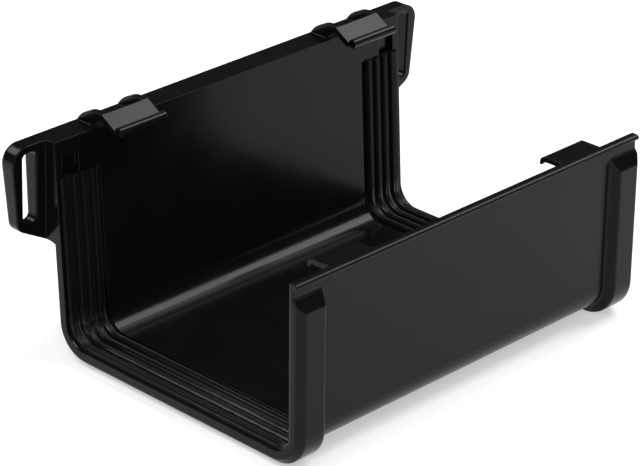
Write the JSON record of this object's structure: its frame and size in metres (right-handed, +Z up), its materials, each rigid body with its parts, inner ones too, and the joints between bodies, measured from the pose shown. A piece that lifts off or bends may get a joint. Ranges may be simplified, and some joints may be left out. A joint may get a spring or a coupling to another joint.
{
  "type": "gutter union",
  "caption": "open box-section gutter union with ribbed seals at both ends, retaining hooks and slotted ears for fixing to a fascia board",
  "frame": {"origin": "middle of the bounding box on the underside of the end collars", "axes": "+X along the gutter, +Y towards the fascia board, +Z up"},
  "size_m": [0.2308, 0.1534, 0.1026],
  "materials": {
    "body": "gloss",
    "seal": "semi-matt"
  },
  "bodies": {
    "root": {"union_body": "body", "seal_left": "seal", "seal_right": "seal"}
  },
  "joints": []
}
